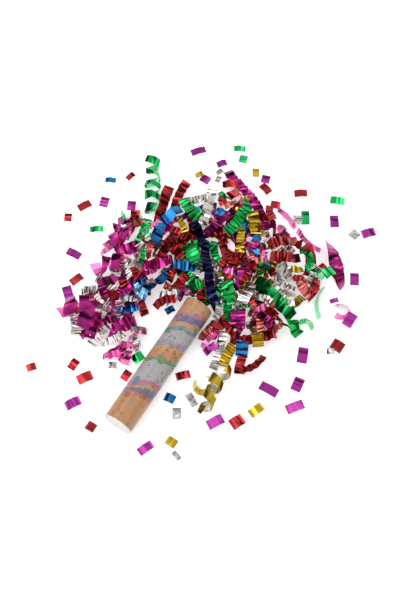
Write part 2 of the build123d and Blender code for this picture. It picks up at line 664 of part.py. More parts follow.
def flat_folds():
    """The node and the fold lines of every streamer and flake, in the order in which they come to lie."""
    for index, (foil, start, end, turn, width, pulled) in enumerate([*heap_rows(), *STREAMERS]):
        phase = math.radians(GOLDEN_ANGLE * index)
        run = pulled * (PLEAT_RUN + PLEAT_VARIATION * math.cos(phase))
        rise = PLEAT_SLOPE * math.sqrt(run * PLEAT_RUN)
        roll = ROLL_LIMIT * math.sin(phase)
        yield "streamers_" + foil, arc_folds(start, end, turn, width, run, rise, (roll, roll))
    for foil, start, end, turn, width in CURLS:
        yield "streamers_" + foil, arc_folds(start, end, turn, width, CURL_RUN, 0.0, (CURL_ROLL, CURL_ROLL))
    for foil, start, end, turn, width in TWISTS:
        yield "streamers_" + foil, arc_folds(start, end, turn, width, PLEAT_RUN, 0.0, (-TWIST_ROLL, TWIST_ROLL))
    for foil, flakes in CONFETTI.items():
        for place, heading, length, width in flakes:
            angle = math.radians(heading)
            half = length / 2 * np.array([math.cos(angle), math.sin(angle)])
            start, end = np.array(place) - half, np.array(place) + half
            yield "confetti_" + foil, arc_folds(start, end, 0, width, length / 2, FLAKE_RISE, (0, 0))


def charge():
    """All streamers and confetti as solids, by node, laid one after another on the table."""
    strips = [(name, folds, (0, 0, -FOIL), DRAPE_SLOPE) for name, folds in flat_folds()]
    for foil, *coil in COILS:
        folds, step = coil_folds(*coil)
        strips.append(("streamers_" + foil, folds, step, 0.0))
    pile = Pile([folds for _, folds, _, _ in strips])
    nodes = {}
    for name, folds, step, slope in strips:
        nodes.setdefault(name, []).append(foil_solid(pile.lay(folds, slope), step))
    return {name: Compound(solids) for name, solids in nodes.items()}


def popper():
    """The popper's own pieces, by node."""
    washer_start = GRIP_LENGTH + JOINT_GAP
    return {
        "base_cap": base_cap(),
        "grip_tube": ring(CAP_FLANGE, GRIP_LENGTH, BORE, TUBE_RADIUS),
        "grip_wrap": paper_wrap(CAP_FLANGE, GRIP_LENGTH),
        "bearing_ring": ring(RING_START, RING_END, NECK_RADIUS + RUNNING_FIT, GLUED),
        "latch_cup": latch_cup(),
        "barrel_tube": ring(BARREL_START, BODY_LENGTH, BORE, TUBE_RADIUS),
        "barrel_wrap": paper_wrap(BARREL_START, BODY_LENGTH),
        "coupler": coupler(),
        "joint_washer": ring(washer_start, BARREL_START, NECK_RADIUS + RUNNING_FIT, TUBE_RADIUS),
        "retaining_clip": retaining_clip(),
        "spring_seat": spring_seat(),
        "main_spring": main_spring(),
        "mouth_seal": mouth_seal(),
        "pusher_cup": pusher_cup(),
        "pusher_pad": pusher_pad(),
        "latch_stem": latch_stem(),
        "latch_pin": latch_pin(),
    }


os.makedirs("parts", exist_ok=True)
for node, shape in {**popper(), **charge()}.items():
    shape.label = node
    export_step(shape, f"parts/{node}.step")
print("stroke", round(STROKE, 2), "mm, floor", round(FLOOR, 2), "mm")
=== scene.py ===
"""Dresses the confetti popper: printed paper tube, twist release and the foil charge that it fired."""

import itertools
import logging
import math
from collections import Counter, defaultdict
from collections.abc import Callable, Iterator, Sequence
from dataclasses import KW_ONLY, dataclass, field, replace
from enum import Enum
from functools import partial

import bpy
import numpy as np
from mathutils import Matrix, Vector

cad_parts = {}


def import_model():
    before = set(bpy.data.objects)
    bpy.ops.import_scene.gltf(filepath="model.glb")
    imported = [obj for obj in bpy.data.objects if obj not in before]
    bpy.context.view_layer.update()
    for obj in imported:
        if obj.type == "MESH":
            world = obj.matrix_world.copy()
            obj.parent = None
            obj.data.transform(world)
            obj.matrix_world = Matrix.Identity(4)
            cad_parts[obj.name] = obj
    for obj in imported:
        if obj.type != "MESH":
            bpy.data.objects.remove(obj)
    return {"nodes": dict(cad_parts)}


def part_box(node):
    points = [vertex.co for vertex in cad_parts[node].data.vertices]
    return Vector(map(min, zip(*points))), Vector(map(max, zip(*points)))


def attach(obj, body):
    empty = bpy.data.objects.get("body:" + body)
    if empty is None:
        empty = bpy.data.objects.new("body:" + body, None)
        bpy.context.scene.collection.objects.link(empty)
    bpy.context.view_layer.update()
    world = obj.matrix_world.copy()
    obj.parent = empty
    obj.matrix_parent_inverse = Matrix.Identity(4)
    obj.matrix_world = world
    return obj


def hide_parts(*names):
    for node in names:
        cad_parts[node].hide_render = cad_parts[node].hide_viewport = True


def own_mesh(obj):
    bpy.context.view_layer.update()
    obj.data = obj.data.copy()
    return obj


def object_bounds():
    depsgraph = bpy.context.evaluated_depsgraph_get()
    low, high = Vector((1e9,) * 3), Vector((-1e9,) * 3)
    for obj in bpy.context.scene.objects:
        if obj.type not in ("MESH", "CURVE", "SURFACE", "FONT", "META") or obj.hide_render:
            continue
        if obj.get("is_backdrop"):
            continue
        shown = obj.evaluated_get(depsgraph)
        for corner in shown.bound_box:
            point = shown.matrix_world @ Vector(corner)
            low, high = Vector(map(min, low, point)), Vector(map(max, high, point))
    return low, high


LOG = logging.getLogger("popper")
MM = 0.001
MICRON = 1e-6
WHITE = "#FFFFFF"

Array = np.ndarray
Pair = tuple[float, float]
Random = np.random.Generator
Object = bpy.types.Object
Socket = bpy.types.NodeSocket
AddNode = Callable[..., bpy.types.NodeOutputs]


def linear(colour: str) -> tuple[float, float, float, float]:
    """Turns an sRGB hex colour into linear light.

    Args:
        colour: six hex digits after a hash.

    Returns:
        Red, green, blue and an alpha of 1.
    """
    values = [int(colour[i : i + 2], 16) / 255 for i in (1, 3, 5)]
    red, green, blue = [v / 12.92 if v <= 0.04045 else ((v + 0.055) / 1.055) ** 2.4 for v in values]
    return red, green, blue, 1.0


def add_node(
    tree: bpy.types.NodeTree,
    kind: str,
    sockets: dict[str | int, object] | None = None,
    stops: Sequence[tuple[float, str | float]] = (),
    stepped: bool = False,
    **settings: object,
) -> bpy.types.NodeOutputs:
    """Adds a shader node with its settings, constants and links.

    Args:
        tree: the node tree.
        kind: Blender's node type, without the ShaderNode that it starts with.
        sockets: each input's name or number, and its constant or the output that feeds it.
        stops: a colour ramp's places, each with a hex colour or a grey.
        stepped: whether the ramp goes from stop to stop without blending.
        settings: the node's own properties.

    Returns:
        The node's outputs.
    """
    node = tree.nodes.new(f"ShaderNode{kind}")
    for name, value in settings.items():
        setattr(node, name, value)
    if stops:
        elements = node.color_ramp.elements
        while len(elements) < len(stops):
            elements.new(1.0)
        for element, (place, colour) in zip(elements, stops):
            element.position = place
            element.color = linear(colour) if isinstance(colour, str) else (colour, colour, colour, 1.0)
        node.color_ramp.interpolation = "CONSTANT" if stepped else "LINEAR"
    for name, value in (sockets or {}).items():
        if isinstance(value, Socket):
            tree.links.new(value, node.inputs[name])
        else:
            node.inputs[name].default_value = value
    return node.outputs


def node_adder(owner: bpy.types.Material | bpy.types.World) -> AddNode:
    """Starts a material or a world from an empty node tree.

    Args:
        owner: the material or world.

    Returns:
        What adds a node to it.
    """
    owner.use_nodes = True
    owner.node_tree.nodes.clear()
    return partial(add_node, owner.node_tree)


def add_object(name: str, data: bpy.types.ID) -> Object:
    """Puts a mesh, a lamp or a camera into the scene.

    Args:
        name: the object's name.
        data: what it shows.

    Returns:
        The object.
    """
    obj = bpy.data.objects.new(name, data)
    bpy.context.scene.collection.objects.link(obj)
    return obj


@dataclass(frozen=True)
class Finish:
    """What a surface is made of: its material's name, and how the material is shaded."""

    name: str

    def shade(self, add: AddNode, place: Socket) -> dict[str, object]:
        """Gives the shader's sockets. Each finish has its own.

        Args:
            add: adds a node to the material.
            place: where a point lies on the object, in metres.

        Returns:
            Each socket's name, and its constant or the output that feeds it.
        """
        raise NotImplementedError

    def material(self) -> bpy.types.Material:
        """Builds the material.

        Returns:
            The material.
        """
        surface = bpy.data.materials.new(self.name)
        add = node_adder(surface)
        place = add("TexCoord")["Object"]
        shader = add("BsdfPrincipled", self.shade(add, place))
        add("OutputMaterial", {"Surface": shader["BSDF"]})
        return surface


@dataclass(frozen=True)
class GrainedFinish(Finish):
    """A surface that changes colour in soft patches, with a grain that breaks its highlights up."""

    colour: str
    patch_colour: str
    _: KW_ONLY
    patch: float
    patch_detail: float = 2.0
    patch_edge: Pair
    grain: float
    grain_detail: float = 2.0
    grain_harshness: float = 0.5
    grain_strength: float
    grain_depth: float
    metallic: float = 1.0
    roughness: float
    refraction: float = 1.5
    coat: float = 0.0
    coat_roughness: float = 0.16

    def shade(self, add: AddNode, place: Socket) -> dict[str, object]:
        """Lays the patches and the grain.

        Args:
            add: adds a node to the material.
            place: where a point lies on the object, in metres.

        Returns:
            Each socket's name, and its constant or the output that feeds it.
        """
        spread = {"Scale": 1 / self.patch, "Detail": self.patch_detail}
        patches = add("TexNoise", {"Vector": place, **spread})["Fac"]
        stops = list(zip(self.patch_edge, (self.colour, self.patch_colour)))
        colour = add("ValToRGB", {"Fac": patches}, stops=stops)["Color"]
        relief = {"Scale": 1 / self.grain, "Detail": self.grain_detail, "Roughness": self.grain_harshness}
        height = add("TexNoise", {"Vector": place, **relief})["Fac"]
        bump = add("Bump", {"Height": height, "Strength": self.grain_strength, "Distance": self.grain_depth})
        return {
            "Base Color": colour,
            "Metallic": self.metallic,
            "Roughness": self.roughness,
            "IOR": self.refraction,
            "Coat Weight": self.coat,
            "Coat Roughness": self.coat_roughness,
            "Normal": bump["Normal"],
        }


@dataclass(frozen=True)
class MetallisedFoil(GrainedFinish):
    """Aluminised polyester film under a coloured lacquer, which is thicker in patches.

    A thin mirror: its folds flash bright or go dark with what they face, and wrinkles break the flash up.
    """

    back: str
    _: KW_ONLY
    patch: float = 16.0 * MM
    patch_edge: Pair = (0.38, 0.68)
    grain: float = 3.2 * MM
    grain_detail: float = 3.0
    grain_harshness: float = 0.55
    grain_strength: float = 0.35
    grain_depth: float = 0.35 * MM
    roughness: float = 0.17
    back_roughness: float = 0.26
    coat: float = 0.36

    def reverse(self) -> "MetallisedFoil":
        """The foil's other side, where the lacquer only shows as a pale tint."""
        back = {"colour": self.back, "patch_colour": self.back, "roughness": self.back_roughness}
        return replace(self, name=f"{self.name}_back", **back)


class Ink(str, Enum):
    """Printing inks on the paper wrap."""

    TAN = "#B7814E"
    ORANGE = "#BC7440"
    RUST = "#A4502A"
    GOLD = "#B88E34"
    BLUE = "#4C7A92"
    PINK = "#AE5C78"
    GREY_LILAC = "#96949A"
    LILAC = "#7A7292"
    PURPLE = "#584A78"
    GREEN = "#427E4A"
    PALE = "#D8CEC4"
    # Not a printing ink: the colour of the lap's thin dark edge line and of the painted shade beside it
    LAP_LINE_AND_SHADE = "#6E4C34"


# Where each printed ribbon starts along the tube, in millimetres
RIBBONS = (
    (0, Ink.TAN), (46, Ink.RUST), (54, Ink.PURPLE), (64, Ink.TAN), (70, Ink.PINK), (80, Ink.GREY_LILAC),
    (116, Ink.GREEN), (123, Ink.ORANGE), (140, Ink.GOLD), (147, Ink.LILAC), (160, Ink.GREY_LILAC),
    (181, Ink.BLUE), (188, Ink.TAN), (199, Ink.PURPLE), (212, Ink.PINK), (219, Ink.TAN),
)

# Where each daubed ink starts, as a share of the tube's length
DAUBS = (
    (0.0, Ink.ORANGE), (0.24, Ink.BLUE), (0.36, Ink.GREEN), (0.55, Ink.RUST),
    (0.66, Ink.GREEN), (0.8, Ink.GOLD), (0.9, Ink.ORANGE),
)

# The flecks' inks, in equal shares
FLECKS = ((0.0, Ink.GOLD), (0.25, Ink.PINK), (0.5, Ink.GREEN), (0.75, Ink.RUST))

# How strong the fine rules are from each share of the tube's length on
RULES = ((0.2, 0.35), (0.33, 1.0), (0.48, 0.35), (0.6, 1.0), (0.74, 0.35))


@dataclass(frozen=True)
class PrintedPaper(Finish):
    """Coated paper with offset print: dull satin, brushed ribbons of ink that wind round the tube."""

    name: str = "printed_paper"
    body_radius: float = 25.0 * MM
    body_length: float = 245.0 * MM
    ribbon_slant: float = 0.34
    brush_reach: float = 26.0 * MM
    brush_size: float = 20.0 * MM
    rule_spacing: float = 3.6 * MM
    rule_strength: float = 0.6
    rule_fade: float = 0.01
    daub_size: float = 15.0 * MM
    daub_strength: float = 0.8
    fleck_spacing: float = 9.0 * MM
    fleck_reach: float = 0.16
    fleck_rarity: float = 0.78
    ink_patch: float = 8.0 * MM
    ink_fading: float = 0.14
    fibre: float = 0.9 * MM
    fibre_depth: float = 0.1 * MM
    lap_edge: float = -0.4 * MM
    lap_line: float = 0.7 * MM
    lap_shade: float = 0.4
    # How far the painted shade beside the lap reaches, and how dark it gets at the lap's edge
    painted_shade_reach: float = 12.0 * MM
    painted_shade_strength: float = 0.16

    def layers(self, add: AddNode, place: Socket, patches: Socket) -> Iterator[tuple[object, object]]:
        """Prints one layer over another, along the tube's axis and round it from the top.

        Args:
            add: adds a node to the material.
            place: where a point lies on the tube.
            patches: how unevenly the paper takes the ink.

        Yields:
            How much each layer covers, and its ink.
        """
        axes = add("SeparateXYZ", {"Vector": place})
        angle = add("Math", {0: axes["Y"], 1: axes["Z"]}, operation="ARCTAN2")[0]
        around = add("Math", {0: angle, 1: self.body_radius}, operation="MULTIPLY")[0]

        # Ribbons with brushed, uneven edges
        slant = {0: around, 1: self.ribbon_slant, 2: axes["X"]}
        slanted = add("Math", slant, operation="MULTIPLY_ADD")[0]
        strokes = {"Vector": place, "Scale": 1 / self.brush_size, "Detail": 5.0, "Roughness": 0.6}
        stroke = add("TexNoise", strokes)["Fac"]
        stroke = add("Math", {0: stroke, 1: 0.5}, operation="SUBTRACT")[0]
        edge = {0: stroke, 1: self.brush_reach, 2: slanted}
        uneven = add("Math", edge, operation="MULTIPLY_ADD")[0]
        along = add("Math", {0: uneven, 1: self.body_length}, operation="DIVIDE")[0]
        ribbons = [(start * MM / self.body_length, ink) for start, ink in RIBBONS]
        yield 1.0, add("ValToRGB", {"Fac": along}, stops=ribbons, stepped=True)["Color"]

        # Fine pale rules, strongest over the greys and wider than real print so that they show
        phase = add("Math", {0: slanted, 1: 2 * math.pi / self.rule_spacing}, operation="MULTIPLY")[0]
        wave = add("Math", {0: phase}, operation="SINE")[0]
        rule = {"Value": wave, "From Min": 0.2, "From Max": 0.8, "To Max": self.rule_strength}
        rule = add("MapRange", rule)[0]
        before = (0.0, *(strength for _, strength in RULES))
        fades = [(start - self.rule_fade, strength) for (start, _), strength in zip(RULES, before)]
        zone = add("ValToRGB", {"Fac": along}, stops=sorted([*fades, *RULES]))["Color"]
        yield add("Math", {0: rule, 1: zone}, operation="MULTIPLY")[0], linear(Ink.PALE)

        # Daubs of a second ink
        noise = add("TexNoise", {"Vector": place, "Scale": 1 / self.daub_size, "Detail": 3.0})["Fac"]
        daub = {"Value": noise, "From Min": 0.57, "From Max": 0.62, "To Max": self.daub_strength}
        ink = add("ValToRGB", {"Fac": along}, stops=DAUBS, stepped=True)["Color"]
        yield add("MapRange", daub)[0], ink

        # Small square flecks
        flat = add("CombineXYZ", {"X": axes["X"], "Y": around})[0]
        grid = {"Vector": flat, "Scale": 1 / self.fleck_spacing}
        cells = add("TexVoronoi", grid, voronoi_dimensions="2D", distance="CHEBYCHEV")
        inside = add("Math", {0: cells["Distance"], 1: self.fleck_reach}, operation="LESS_THAN")[0]
        chance = add("SeparateColor", {"Color": cells["Color"]})
        chosen = add("Math", {0: chance[1], 1: self.fleck_rarity}, operation="GREATER_THAN")[0]
        ink = add("ValToRGB", {"Fac": chance[0]}, stops=FLECKS, stepped=True)["Color"]
        yield add("Math", {0: inside, 1: chosen}, operation="MULTIPLY")[0], ink

        # Thin ink in patches
        thin = {"Value": patches, "From Min": 0.35, "From Max": 0.75, "To Max": self.ink_fading}
        yield add("MapRange", thin)[0], linear(Ink.PALE)

        # The sheet's cut edge along the lap, drawn as a thin dark line, and painted shade beside it on one
        # side, darkest at the edge and fading over a short reach
        beside = add("Math", {0: around, 1: self.lap_edge}, operation="SUBTRACT")[0]
        painted_shade = {"Value": beside, "From Min": -self.painted_shade_reach, "From Max": 0.0, "To Max": self.painted_shade_strength}
        painted_shade = add("MapRange", painted_shade)[0]
        under = add("Math", {0: beside, 1: 0.0}, operation="LESS_THAN")[0]
        painted_shade = add("Math", {0: painted_shade, 1: under}, operation="MULTIPLY")[0]
        apart = add("Math", {0: beside}, operation="ABSOLUTE")[0]
        line = {"Value": apart, "From Min": self.lap_line, "From Max": 0.0, "To Max": self.lap_shade}
        line = add("MapRange", line)[0]
        yield add("Math", {0: painted_shade, 1: line}, operation="MAXIMUM")[0], linear(Ink.LAP_LINE_AND_SHADE)

    def shade(self, add: AddNode, place: Socket) -> dict[str, object]:
        """Prints the layers on the paper, which shines less where it takes less ink.

        Args:
            add: adds a node to the material.
            place: where a point lies on the object, in metres.

        Returns:
            Each socket's name, and its constant or the output that feeds it.
        """
        uptake = {"Vector": place, "Scale": 1 / self.ink_patch, "Detail": 4.0}
        patches = add("TexNoise", uptake)["Fac"]
        colour = linear(Ink.PALE)
        for share, ink in self.layers(add, place, patches):
            colour = add("Mix", {"Factor": share, 6: colour, 7: ink}, data_type="RGBA")[2]
        fibres = add("TexNoise", {"Vector": place, "Scale": 1 / self.fibre, "Detail": 3.0})["Fac"]
        bump = add("Bump", {"Height": fibres, "Strength": 0.12, "Distance": self.fibre_depth})
        return {
            "Base Color": colour,
            "Roughness": add("MapRange", {"Value": patches, "To Min": 0.34, "To Max": 0.5})[0],
            "IOR": 1.5,
            "Coat Weight": 0.5,
            "Coat Roughness": 0.16,
            "Normal": bump["Normal"],
        }


@dataclass(frozen=True)
class PaperBoard(Finish):
    """Wound or punched board, uncoated: matt, with fibres and plies that show as fine streaks."""

    colour: str
    dark_fibre: str
    fibre: float = 1.4 * MM
    ply: float = 0.45 * MM
    streak_depth: float = 0.15 * MM
    roughness: float = 0.86

    def shade(self, add: AddNode, place: Socket) -> dict[str, object]:
        """Streaks the board with dark fibres.

        Args:
            add: adds a node to the material.
            place: where a point lies on the object, in metres.

        Returns:
            Each socket's name, and its constant or the output that feeds it.
        """
        tangle = {"Vector": place, "Scale": 1 / self.fibre, "Detail": 5.0, "Roughness": 0.6}
        fibres = add("TexNoise", tangle)["Fac"]
        plies = add("TexNoise", {"Vector": place, "Scale": 1 / self.ply, "Detail": 1.0})["Fac"]
        streaks = add("Math", {0: fibres, 1: plies}, operation="MULTIPLY")[0]
        colour = add("ValToRGB", {"Fac": streaks}, stops=[(0.14, self.dark_fibre), (0.34, self.colour)])
        bump = add("Bump", {"Height": streaks, "Strength": 0.3, "Distance": self.streak_depth})
        return {
            "Base Color": colour["Color"],
            "Roughness": self.roughness,
            "IOR": 1.45,
            "Normal": bump["Normal"],
        }


@dataclass(frozen=True)
class MouldedPlastic(GrainedFinish):
    """Injection-moulded polypropylene: satin, slightly waxy, with flow marks and the mould's fine grain."""

    _: KW_ONLY
    patch: float = 22.0 * MM
    patch_detail: float = 3.0
    patch_edge: Pair = (0.35, 0.75)
    grain: float = 0.7 * MM
    grain_strength: float = 0.15
    grain_depth: float = 0.05 * MM
    metallic: float = 0.0
    roughness: float = 0.36
    refraction: float = 1.49


@dataclass(frozen=True)
class DrawnSteel(GrainedFinish):
    """Drawn steel wire, dark with oil between its fine bright draw lines, with a soft highlight."""

    _: KW_ONLY
    patch: float = 0.5 * MM
    patch_edge: Pair = (0.35, 0.7)
    grain: float = 0.5 * MM
    grain_strength: float = 0.2
    grain_depth: float = 0.03 * MM
    roughness: float = 0.3


class Foil(Enum):
    """The foils of the charge, as the parts' names end."""

    MAGENTA = MetallisedFoil("foil_magenta", "#AC1F7C", "#8A1260", "#F07ABA")
    PURPLE = MetallisedFoil("foil_purple", "#9C2A8B", "#872074", "#D48CCC", roughness=0.32)
    RED = MetallisedFoil("foil_red", "#A82429", "#84161B", "#C8685E")
    GREEN = MetallisedFoil("foil_green", "#14B058", "#0C9446", "#8CDCAA")
    BLUE = MetallisedFoil("foil_blue", "#1A78B8", "#10609A", "#7CB2DA")
    # Painted shade: navy is a darker copy of the blue foil, put where blue foil lies in shade
    NAVY = MetallisedFoil("foil_navy", "#0C1654", "#080E3C", "#5A6CA8")
    GOLD = MetallisedFoil("foil_gold", "#C8A82C", "#AC901C", "#DAD4C4")
    SILVER = MetallisedFoil("foil_silver", "#D6D2CE", "#BCB2AC", "#D6D2CE", roughness=0.14)
    PEWTER = MetallisedFoil("foil_pewter", "#CCC8C4", "#7E7A76", "#C6C2BE", roughness=0.2, patch=6.0 * MM)

    @property
    def key(self) -> str:
        """The foil's name in the parts' names."""
        return self.name.lower()

    @property
    def slot(self) -> str:
        """The record's material slot for the foil."""
        return FLAKE_STOCK.get(self, self).value.name

    @property
    def flake_film(self) -> "Foil":
        """The film that the confetti of this foil's slot is cut from."""
        return next((film for film, foil in FLAKE_STOCK.items() if foil is self), self)


# Cut confetti comes from other film than the streamers of its slot
FLAKE_STOCK = {Foil.PURPLE: Foil.MAGENTA, Foil.PEWTER: Foil.SILVER}

# Foils that stand on edge with their pale backs outwards
PALE_ON_EDGE = (Foil.MAGENTA, Foil.RED, Foil.GREEN)

# Facets torn off the start and the end of each foil's wound strips
TORN_ENDS = {Foil.MAGENTA: (4, 0), Foil.RED: (4, 0), Foil.GREEN: (0, 6)}


def paint(obj: Object, material: bpy.types.Material) -> None:
    """Gives an object a material in place of those that it has."""
    obj.data.materials.clear()
    obj.data.materials.append(material)


def dress_solids(nodes: dict[str, Object], finishes: dict[Finish, tuple[str, ...]]) -> None:
    """Gives the frame's own solids their finishes.

    Args:
        nodes: the frame's objects by name.
        finishes: each finish, and the names of the solids that have it.
    """
    for finish, names in finishes.items():
        material = finish.material()
        for name in names:
            paint(nodes[name], material)
            LOG.info("%s dressed in %s", name, finish.name)


@dataclass
class PaperTube:
    """The twistable paper tube: two board tubes under printed wraps, end cap and torn seal."""

    nodes: dict[str, Object]

    def dress(self) -> None:
        """Gives the tube's pieces their finishes."""
        finishes = {
            PrintedPaper(): ("barrel_wrap", "grip_wrap"),
            PaperBoard("kraft_board", "#C09468", "#8E6844"): ("barrel_tube", "grip_tube"),
            PaperBoard("seal_paper", "#E4DCCC", "#C8BEAC", fibre=0.8 * MM): ("mouth_seal",),
            MouldedPlastic("white_polypropylene", "#F0EAE2", "#E4DED4"): ("base_cap",),
        }
        dress_solids(self.nodes, finishes)


@dataclass
class TwistRelease:
    """The mechanism in the tube: turning joint, latch, spring and plunger."""

    nodes: dict[str, Object]
    wire_diameter: float = 2.0 * MM
    turns: int = 9
    end_pitch: float = 2.6 * MM
    cocked_length: float = 27.2 * MM
    points_per_turn: int = 36
    wire_sides: int = 10

    def dress(self) -> None:
        """Gives the mechanism's rigid pieces their finishes."""
        white = MouldedPlastic("moulded_white_polypropylene", "#EFEDE6", "#E0DDD4")
        natural = MouldedPlastic("natural_polypropylene", "#DAD7CC", "#C9C5B8", roughness=0.42)
        finishes = {
            white: ("coupler", "latch_cup", "pusher_cup"),
            natural: ("bearing_ring", "spring_seat", "latch_stem"),
            PaperBoard("grey_board", "#9C968C", "#7A746A"): ("pusher_pad", "joint_washer"),
            DrawnSteel("turned_steel", "#8A8C90", "#A4A6A9"): ("retaining_clip", "latch_pin"),
        }
        dress_solids(self.nodes, finishes)

    def build_spring(self) -> None:
        """Winds the main spring from round wire in place of its flat-sided solid, closer at both ends."""
        low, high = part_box("main_spring")
        wire = self.wire_diameter / 2
        span = high[0] - low[0] - self.wire_diameter
        turn = np.linspace(0, self.turns, self.turns * self.points_per_turn + 1)
        angle = 2 * math.pi * turn
        outward = np.stack([0 * angle, np.cos(angle), np.sin(angle)], axis=1)
        centre = ((high[1] - low[1]) / 2 - wire) * outward
        turns = (0, 1, self.turns - 1, self.turns)
        centre[:, 0] = np.interp(turn, turns, (0, self.end_pitch, span - self.end_pitch, span))
        centre[:, 0] += low[0] + wire
        ahead = np.gradient(centre, axis=0)
        side = np.cross(ahead / np.linalg.norm(ahead, axis=1)[:, None], outward)
        around = (2 * math.pi * np.arange(self.wire_sides) / self.wire_sides)[:, None]
        rings = centre[:, None] + wire * (outward[:, None] * np.cos(around) + side[:, None] * np.sin(around))
        corner = np.arange(len(turn) * self.wire_sides).reshape(-1, self.wire_sides)
        beside = np.roll(corner, -1, axis=1)
        faces = np.stack([corner[:-1], beside[:-1], beside[1:], corner[1:]], axis=2).reshape(-1, 4).tolist()
        faces += [corner[0, ::-1].tolist(), corner[-1].tolist()]
        mesh = bpy.data.meshes.new("spring_wire")
        mesh.from_pydata(rings.reshape(-1, 3).tolist(), [], faces)
        mesh.shade_smooth()
        spring = add_object("spring_wire", mesh)
        paint(spring, DrawnSteel("drawn_spring_steel", "#84868A", "#A9ABAE").material())
        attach(spring, "barrel")
        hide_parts("main_spring")
        seat = (float(low[0]), 0.0, 0.0)
        keep = self.cocked_length / (high[0] - low[0])
        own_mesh(spring)
        LOG.info("spring_wire wound with %d turns", self.turns)


@dataclass(frozen=True)
class Strip:
    """A strip of foil: its fold lines, each with its left and its right end, and whether it is wound up."""

    folds: Array
    wound: bool
    upright_from: float = 0.85

    @property
    def on_edge(self) -> bool:
        """Whether the strip stands on edge.

        Returns:
            True if it is nearly upright all along and isn't wound up.
        """
        across = self.folds[:, 0] - self.folds[:, 1]
        upright = np.abs(across[:, 2]) / np.linalg.norm(across, axis=1)
        return not self.wound and bool(upright.min() > self.upright_from)


def joined(triangles: Array, count: int) -> Array:
    """Numbers corners so that all corners of connected triangles share a number.

    Args:
        triangles: the corners of each triangle.
        count: how many corners there are.

    Returns:
        A number for each corner.
    """
    group = np.arange(count)
    while True:
        merged = group.copy()
        np.minimum.at(merged, triangles, group[triangles].min(axis=1, keepdims=True))
        if (merged == group).all():
            return group
        group = merged


def read_strips(node: Object, thickest: float = 0.3 * MM, wound_excess: float = 0.004) -> list[Strip]:
    """Reads every strip of foil in a part.

    A strip is two sheets of facets with narrow faces between them. Its outer sheet is the larger one if it is
    wound up, and otherwise the upper one.

    Args:
        node: the part's object.
        thickest: the width up to which a face is one of the narrow ones.
        wound_excess: how much larger than its inner sheet a wound strip's outer one is at least.

    Returns:
        The strips.
    """
    mesh = node.data
    mesh.calc_loop_triangles()
    points = np.array([vertex.co for vertex in mesh.vertices], np.float32)
    spots, index = np.unique(np.round(points * (1 / MICRON)), axis=0, return_inverse=True)
    spots = spots * MICRON
    triangles = index.reshape(-1)[[face.vertices[:] for face in mesh.loop_triangles]]
    edges = spots[triangles[:, (1, 2, 0)]] - spots[triangles]
    area = np.linalg.norm(np.cross(edges[:, 0], edges[:, 1]), axis=1) / 2
    broad = 2 * area > thickest * np.linalg.norm(edges, axis=2).max(axis=1)
    solid = joined(triangles, len(spots))
    sheet = joined(triangles[broad], len(spots))
    strips = []
    for label in np.unique(solid[triangles[:, 0]]):
        mine = broad & (solid[triangles[:, 0]] == label)
        sides = [mine & (sheet[triangles[:, 0]] == side) for side in np.unique(sheet[triangles[mine, 0]])]
        sides.sort(key=lambda side: spots[triangles[side], 2].mean())
        wound = abs(area[sides[0]].sum() / area[sides[1]].sum() - 1) > wound_excess
        if wound:
            sides.sort(key=lambda side: area[side].sum())
        strips.append(Strip(ordered_folds(spots, triangles[sides[1]], triangles[sides[0]]), wound))
    return strips


def ordered_folds(spots: Array, outer: Array, inner: Array) -> Array:
    """Orders the corners of a strip's outer sheet into fold lines.

    Args:
        spots: all corner places.
        outer: the outer sheet's triangles.
        inner: the inner sheet's triangles.

    Returns:
        The fold lines, from one end of the strip to the other.
    """
    edges = np.sort(outer[:, ((0, 1), (1, 2), (2, 0))], axis=2).reshape(-1, 2)
    uses = Counter(map(tuple, edges.tolist()))
    beside = defaultdict(list)
    for (first, last), times in uses.items():
        if times == 1:
            beside[first].append(last)
            beside[last].append(first)
    loop = [next(iter(beside))]
    while len(loop) < len(beside):
        loop.append(next(spot for spot in beside[loop[-1]] if spot not in loop[-2:]))
    place = {spot: i for i, spot in enumerate(loop)}
    count = len(loop)
    # The places of a fold's two ends round the rim always have one sum, and those of the diagonals, of which
    # there is one more, have another
    sums = [(place[first] + place[last]) % count for (first, last), times in uses.items() if times == 2]
    fold_sum = min(set(sums), key=sums.count)
    begin = (fold_sum - 1) // 2
    left = [loop[(begin - i) % count] for i in range(count // 2)]
    right = [loop[(begin + 1 + i) % count] for i in range(count // 2)]
    folds = np.stack([spots[left], spots[right]], axis=1)
    ahead = folds[1].mean(axis=0) - folds[0].mean(axis=0)
    within = spots[np.unique(inner)]
    nearest = within[np.linalg.norm(within - folds[0, 0], axis=1).argmin()]
    if np.cross(folds[0, 1] - folds[0, 0], ahead) @ (folds[0, 0] - nearest) < 0:
        folds = folds[:, ::-1]
    return folds


